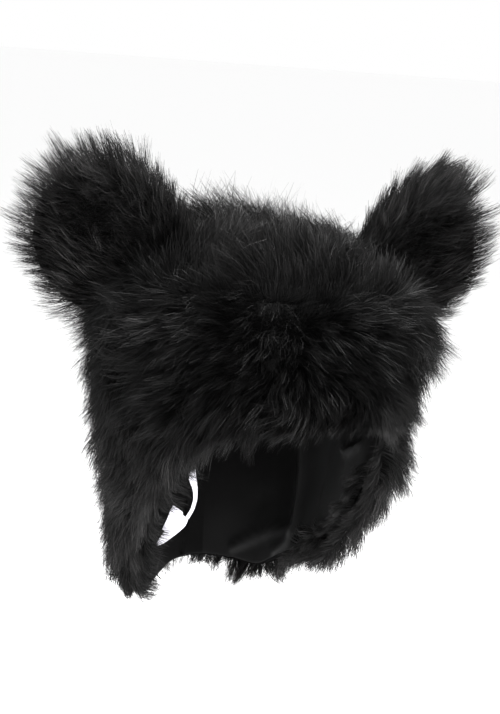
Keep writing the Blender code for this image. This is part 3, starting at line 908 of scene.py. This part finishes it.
def grow_fur(name, cloth, fibres, seed):
    """A fur piece over a cloth, as a plain mesh."""
    fur = settings("fur")
    tree = bpy.data.node_groups.get("fur_pile") or fur_tree()
    made = link(name, cloth)
    step = made.modifiers.new("Fur", "NODES")
    step.node_group = tree
    thick = numbers_of(cloth.attributes["thick"].data, "value", 1)[:, 0]
    grown = sum(face.area * thick[list(face.vertices)].mean() for face in cloth.polygons)
    values = {
        "Fibres per Square Metre": fibres / grown,
        "Lock Spacing": fur.lock,
        "Gathering": fur.gather,
        "Fibre Width": fur.width,
        "Steps": FIBRE_STEPS,
        "Seed": seed,
        "Finish": fur_material(),
    }
    for item in tree.interface.items_tree:
        if item.in_out == "INPUT" and item.name in values:
            step[item.identifier] = values[item.name]
    mesh = evaluated(made)
    mesh.name = name
    return link(name, mesh)


class PLUSHHAT_OT_backing(bpy.types.Operator):
    """Makes the knitted backing of the front and the back panel"""

    bl_idname = "plush_hat.backing"
    bl_label = "Panel backing"

    def execute(self, context):
        material = backing_material()
        cloth = panel_face(1)
        for name, node, side in (
            ("front_backing", "front_panel", in_front),
            ("back_backing", "back_panel", lambda p: ~in_front(p)),
        ):
            panel = part_of(cloth, name, side)
            mesh = evaluated(walled(name, panel, BACKING_THICK - BACKING_ROOM, -1))
            finish(mesh, material)
            made = link(name, mesh)
            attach(made, "root")
            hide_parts(node)
            made["flat_area"] = area_of(panel)
        return {"FINISHED"}


class PLUSHHAT_OT_fur(bpy.types.Operator):
    """Grows the long pile of both panels"""

    bl_idname = "plush_hat.fur"
    bl_label = "Body fur"

    def execute(self, context):
        fur = settings("fur")
        cloth = body_cloth()
        parts = (
            ("front_fur_left", fur.front_fibres, lambda p: in_front(p) & (p[:, 0] >= 0)),
            ("front_fur_right", fur.front_fibres, lambda p: in_front(p) & (p[:, 0] < 0)),
            ("crown_fur", fur.crown_fibres, lambda p: ~in_front(p) & (p[:, 2] > CROWN_LOW)),
            ("back_fur_left", fur.back_fibres, lambda p: low_back(p) & (p[:, 0] >= 0)),
            ("back_fur_right", fur.back_fibres, lambda p: low_back(p) & (p[:, 0] < 0)),
        )
        strips = [(name, fibres, part_of(cloth, name, keep)) for name, fibres, keep in parts]
        strips.append(("turned_in_fur", fur.turned_fibres, turned_in_cloth()))
        strips.append(("rim_fur", fur.rim_fibres, fringe_cloth(cloth)))
        for seed, (name, fibres, strip) in zip((20, 21, 22, 23, 24, 29, 30), strips):
            made = grow_fur(name, strip, fibres, seed)
            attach(made, "root")
        return {"FINISHED"}


def refine_inside(mesh):
    """Cuts the lining's inner faces finer below the brow and behind it, where the folds are."""
    bm = to_bmesh(mesh)
    edges = set()
    for face in bm.faces:
        middle = face.calc_center_median()
        inner = face.normal.x * middle.x + face.normal.y * middle.y < 0
        if inner and middle.z < -0.105 and middle.y > -0.03:
            edges.update(face.edges)
    bmesh.ops.subdivide_edges(bm, edges=list(edges), cuts=1, use_grid_fill=True)
    bm.to_mesh(mesh)
    bm.free()


def distance_to_path(turn, points, path):
    """How far each point lies from a path of azimuths and heights on the lining, in metres."""
    reach = np.linalg.norm(points[:, :2], axis=1) * math.pi / 180
    best = np.full(len(points), 1.0)
    for (turn_a, high_a), (turn_b, high_b) in zip(path, path[1:]):
        along = np.stack([(turn_b - turn_a) * reach, np.full(len(points), high_b - high_a)], -1)
        off = np.stack([turn_from(turn, turn_a) * reach, points[:, 2] - high_a], -1)
        share = np.clip((off * along).sum(-1) / (along * along).sum(-1), 0, 1)
        best = np.minimum(best, np.linalg.norm(off - share[:, None] * along, axis=-1))
    return best


def satin_folds(points, turn):
    """The share of the fold depth at each point, and how near it is to a ridge's crest."""
    height = points[:, 2]
    free = ease(0.090, 0.125, -height) * ease(40, 80, abs(turn))
    depth = 0.55 * free + 0.14 * ripple(points, 0.030, 51) * ease(0.06, 0.12, -height)
    for fold in FOLDS:
        near = spot(turn_from(turn, fold.azimuth), 0, fold.half_turn)
        depth = depth + fold.depth * near * spot(height, fold.height, fold.half_height)
    crest = np.zeros(len(points))
    for ridge in RIDGES:
        near = spot(distance_to_path(turn, points, ridge.path), 0, ridge.half_width)
        depth = depth + ridge.depth * near
        crest = np.maximum(crest, near * max(ridge.depth, 0))
    faded = LEAST_DEPTH * np.exp(np.minimum(depth, LEAST_DEPTH) / LEAST_DEPTH - 1)
    return np.where(depth > LEAST_DEPTH, depth, faded), crest


def satin_shade(points, turn, crest):
    """Painted light and shade on the satin: set along the back wall by azimuth, and most painted light on the
    left flap's leaf, the ridges' crests and the low hem.
    """
    low = -points[:, 2]
    wall_painted_light = np.interp(turn % 360, *zip(*PAINTED_WALL_LIGHT))
    leaf = ease(62, 76, turn) * (1 - ease(118, 144, turn) ** 0.7) * ease(0.10, 0.125, low)
    hem = ease(0.170, 0.200, low) * (ease(136, 150, turn) + 1 - ease(20, 40, abs(turn + 140)))
    return 0.34 * wall_painted_light + 1.25 * leaf + 1.1 * crest + 0.35 * np.clip(hem, 0, 1)


class PLUSHHAT_OT_lining(bpy.types.Operator):
    """Makes the satin lining with its soft folds"""

    bl_idname = "plush_hat.lining"
    bl_label = "Satin lining"

    def execute(self, context):
        mesh = smoothed(from_bmesh("satin_lining", node_cloth("lining")), 2)
        refine_inside(mesh)
        points = sagged_hem(points_of(mesh))
        turn = azimuth(points)
        depth, crest = satin_folds(points, turn)
        inward = -unit(points * (1.0, 1.0, 0.0))
        place_points(mesh, points + inward * (settings("lining").fold * depth)[:, None])
        # Painted light and shade on the satin's colour
        write_fields(mesh, shade=satin_shade(points, turn, crest))
        finish(mesh, satin_material())
        shade_smooth(mesh)
        made = link("satin_lining", mesh)
        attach(made, "root")
        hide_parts("lining")
        return {"FINISHED"}


def ear_axes(side):
    """Root point and the ear's width, height and facing directions; side is 1 for the wearer's left."""
    outward = Vector((side * math.cos(EAR_TILT), 0.0, -math.sin(EAR_TILT)))
    height = Vector((side * math.sin(EAR_TILT), 0.0, math.cos(EAR_TILT)))
    width = math.cos(EAR_TURN) * outward + math.sin(EAR_TURN) * Vector((0.0, 1.0, 0.0))
    facing = math.cos(EAR_TURN) * Vector((0.0, -1.0, 0.0)) + math.sin(EAR_TURN) * outward
    root = Vector((side * EAR_ROOT[0], *EAR_ROOT[1:]))
    return tuple(np.array(v) for v in (root, width, height, facing))


def grid_faces(rows, columns, closed=False):
    """Quads between rows of points, all the way round where closed."""
    return [
        (r * columns + a, r * columns + b, (r + 1) * columns + b, (r + 1) * columns + a)
        for r in range(rows - 1)
        for a, b in ((c, (c + 1) % columns) for c in range(columns if closed else columns - 1))
    ]


def ear_pad(name, side):
    """The padded ear: a closed, cupped form. Gives its mesh and each point's place in the ear."""
    ears = settings("ears")
    root, width, up, facing = ear_axes(side)
    across = np.sin(np.linspace(-0.5, 0.5, EAR_COLUMNS) * math.pi)
    across_share, upward_share, middle = EAR_CUP_SHARES
    rows = []
    for high in np.linspace(*EAR_REACH, EAR_ROWS):
        wide = float(np.interp(high, *zip(*EAR_OUTLINE))) * ears.half_width * across
        level = np.full_like(wide, high * ears.height)
        cup = ears.cup * (across_share * (wide / ears.half_width) ** 2 + upward_share * (high - middle) ** 2)
        pad = 0.5 * ears.thick * np.sqrt(np.clip(1.0 - across**2, 0, 1)) * min(1.0, 0.3 + 5 * (1 - high))
        front, back = (np.stack([wide, level, cup + way * pad], -1) for way in (1, -1))
        rows.append(np.concatenate([front, back[-2:0:-1]]))
    count = len(rows[0])
    places = np.concatenate(rows)
    points = root + places[:, :1] * width + places[:, 1:2] * up + places[:, 2:] * facing
    ends = [tuple(range(count))[::-1], tuple(range(count * (EAR_ROWS - 1), count * EAR_ROWS))]
    mesh = bpy.data.meshes.new(name)
    mesh.from_pydata(points.tolist(), [], grid_faces(EAR_ROWS, count, closed=True) + ends)
    bm = to_bmesh(mesh)
    bmesh.ops.recalc_face_normals(bm, faces=bm.faces)
    bm.to_mesh(mesh)
    bm.free()
    return mesh, places


def write_ear_pile(mesh, places, side):
    """Writes how an ear's pile grows: combed out from the root, and upright in the middle of the cup."""
    ears = settings("ears")
    _, width, up, facing = ear_axes(side)
    points, out = points_of(mesh), normals_of(mesh)
    wide, high = places[:, 0] / ears.half_width, places[:, 1] / ears.height
    edge = ease(0.80, 1.0, np.maximum(abs(wide), high))
    sink = ease(0.1, 0.7, wide) * (1 - ease(0.10, 0.45, high))
    heart = spot(wide, -0.08, 0.58, 4) * spot(high, 0.58, 0.30, 4) * (out @ facing > 0.3)
    painted_light_low_outer = ease(-0.25, 0.45, wide - 0.9 * (high - 0.42))
    rugged = ripple(points, 0.012, 45)
    ray = unit(places[:, :2] + (0.0, 0.030))
    comb = ray[:, :1] * width + ray[:, 1:] * up - 0.65 * sink[:, None] * up + 0.18 * ripples(points, 0.02, 40)
    long = 1.0 - 0.15 * edge + 0.10 * rugged - 0.15 * heart + 0.20 * sink
    long = long * (1 - 0.14 * ease(0.3, 0.9, wide))
    # Painted light and shade on the ear's colour, apart from the rugged ripple: the whole ear, and more its
    # low outer part and its edge, are lightened; the cup's heart is darkened on the wearer's left ear and
    # lightened on the right.
    shade = 2.3 + 3.0 * painted_light_low_outer + 1.3 * edge + 0.5 * rugged + (0.15 - 0.75 * side) * heart
    thick = 1.0 + 2.2 * ease(0.55, 0.95, np.maximum(abs(wide), high)) - 0.4 * (out @ facing < -0.3)
    write_fields(
        mesh, out=out, comb=unit(comb), rise=0.34 + 0.42 * heart + 0.08 * ripple(points, 0.015, 44),
        pile=ears.pile * long, thick=thick, stray=0.34 + 0.7 * heart, shade=np.clip(shade, 0.6, 6.0),
    )


class PLUSHHAT_OT_ears(bpy.types.Operator):
    """Makes both padded ears and grows their fur"""

    bl_idname = "plush_hat.ears"
    bl_label = "Ears"

    def execute(self, context):
        material = backing_material()
        for label, side in (("left", 1), ("right", -1)):
            mesh, places = ear_pad(f"ear_pad_{label}", side)
            write_ear_pile(mesh, places, side)
            cloth = mesh.copy()
            pad = link(f"ear_pad_{label}", mesh)
            finish(mesh, material)
            shade_smooth(mesh)
            made = grow_fur(f"ear_fur_{label}", cloth, settings("fur").ear_fibres, 31 + side)
            for piece in (pad, made):
                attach(piece, "root")
            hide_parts(f"ear_{label}")
        return {"FINISHED"}


def ribbon(name, stations, thick):
    """A ribbon through its stations, each the two ends of its width, with a little wall and soft turns."""
    ends = np.array(stations) / 1000
    rows = np.linspace(0, len(ends) - 1, RIBBON_ROWS_EACH * (len(ends) - 1) + 1)
    share = np.linspace(0, 1, RIBBON_COLUMNS)[:, None]
    points = []
    for row in rows:
        station = [[np.interp(row, range(len(ends)), ends[:, side, k]) for k in range(3)] for side in (0, 1)]
        near, far = np.array(station)
        points.extend(near + share * (far - near))
    mesh = bpy.data.meshes.new(name)
    mesh.from_pydata([tuple(p) for p in points], [], grid_faces(len(rows), RIBBON_COLUMNS))
    made = walled(name, mesh, thick, 0)
    soft = made.modifiers.new("Soft", "SUBSURF")
    soft.levels = soft.render_levels = 1
    mesh = evaluated(made)
    mesh.name = name
    shade_smooth(mesh)
    return link(name, mesh)


class PLUSHHAT_OT_labels(bpy.types.Operator):
    """Makes the blank care label and the hanging loop"""

    bl_idname = "plush_hat.labels"
    bl_label = "Ribbon labels"

    def execute(self, context):
        material = ribbon_material()
        for name, node, stations in (
            ("loop_ribbon", "hanging_loop", LOOP_STATIONS),
            ("care_ribbon", "care_label", CARE_STATIONS),
            ("care_fold", "care_label", CARE_FOLD_STATIONS),
        ):
            made = ribbon(name, stations, settings("labels").thick)
            finish(made.data, material)
            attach(made, "root")
            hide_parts(node)
        return {"FINISHED"}


def soft_box(name, place, size, watts):
    """A square studio lamp that looks at the hat."""
    lamp = bpy.data.lights.new(name, "AREA")
    lamp.shape = "SQUARE"
    lamp.size = size
    lamp.energy = watts
    made = link(name, lamp)
    made.location = place
    made.rotation_mode = "QUATERNION"
    made.rotation_quaternion = (Vector(place) - LOOK_AT).to_track_quat("Z", "Y")


class PLUSHHAT_OT_stage(bpy.types.Operator):
    """Sets up the camera, the pale floor and the soft light"""

    bl_idname = "plush_hat.stage"
    bl_label = "Stage"

    def execute(self, context):
        scene = context.scene
        stage = settings("stage")
        turn, lift = stage.yaw, stage.elevation
        back = Vector((math.sin(turn) * math.cos(lift), -math.cos(turn) * math.cos(lift), math.sin(lift)))
        lens = bpy.data.cameras.new("camera")
        lens.lens = stage.lens
        lens.sensor_width = 36.0
        lens.clip_start = 0.05
        camera = link("camera", lens)
        camera.location = LOOK_AT + stage.distance * back
        camera.rotation_mode = "QUATERNION"
        camera.rotation_quaternion = back.to_track_quat("Z", "Y") @ Quaternion((0, 0, 1), stage.roll)
        scene.camera = camera

        low = CAD_BOX[0][2] - stage.floor_drop
        mesh = bpy.data.meshes.new("floor")
        corners = [(x * FLOOR_REACH, y * FLOOR_REACH, low) for x, y in ((-1, -1), (1, -1), (1, 1), (-1, 1))]
        mesh.from_pydata(corners, [], [(0, 1, 2, 3)])
        floor = link("floor", mesh)
        pale, n = new_material("pale_floor")
        n.surface({"Base Color": (0.97, 0.97, 0.97, 1), "Roughness": 0.9})
        mesh.materials.append(pale)

        world = bpy.data.worlds.new("surround")
        world.use_nodes = True
        tree = world.node_tree
        Nodes(tree).feed(tree.nodes["Background"], {"Color": (1, 1, 1, 1), "Strength": stage.daylight})
        scene.world = world
        for lamp in LAMPS:
            soft_box(*lamp)
        scene.view_settings.view_transform = "Standard"
        return {"FINISHED"}


class PLUSHHAT_PT_panel(bpy.types.Panel):
    """Lists the hat's pieces and their settings."""

    bl_idname = "PLUSHHAT_PT_panel"
    bl_label = "Plush hat"
    bl_space_type = "VIEW_3D"
    bl_region_type = "UI"
    bl_category = "Plush hat"

    def draw(self, context):
        layout = self.layout
        for operator in OPERATORS:
            layout.operator(operator.bl_idname)
        for name, kind in SETTINGS.items():
            box = layout.box()
            for field in kind.__annotations__:
                box.prop(getattr(context.scene, name), field)


SETTINGS = {
    "plush_hat_fur": PlushHatFur,
    "plush_hat_ears": PlushHatEars,
    "plush_hat_lining": PlushHatLining,
    "plush_hat_labels": PlushHatLabels,
    "plush_hat_stage": PlushHatStage,
}
OPERATORS = (
    PLUSHHAT_OT_lining,
    PLUSHHAT_OT_backing,
    PLUSHHAT_OT_fur,
    PLUSHHAT_OT_ears,
    PLUSHHAT_OT_labels,
    PLUSHHAT_OT_stage,
)


def register():
    for kind in (*SETTINGS.values(), *OPERATORS, PLUSHHAT_PT_panel):
        bpy.utils.register_class(kind)
    for name, kind in SETTINGS.items():
        setattr(bpy.types.Scene, name, bpy.props.PointerProperty(type=kind))


def unregister():
    for name in SETTINGS:
        delattr(bpy.types.Scene, name)
    for kind in reversed((*SETTINGS.values(), *OPERATORS, PLUSHHAT_PT_panel)):
        bpy.utils.unregister_class(kind)


def main():
    """Builds every piece."""
    register()
    bpy.ops.plush_hat.lining()
    bpy.ops.plush_hat.backing()
    bpy.ops.plush_hat.fur()
    bpy.ops.plush_hat.ears()
    bpy.ops.plush_hat.labels()
    bpy.ops.plush_hat.stage()


if __name__ == "__main__":
    main()
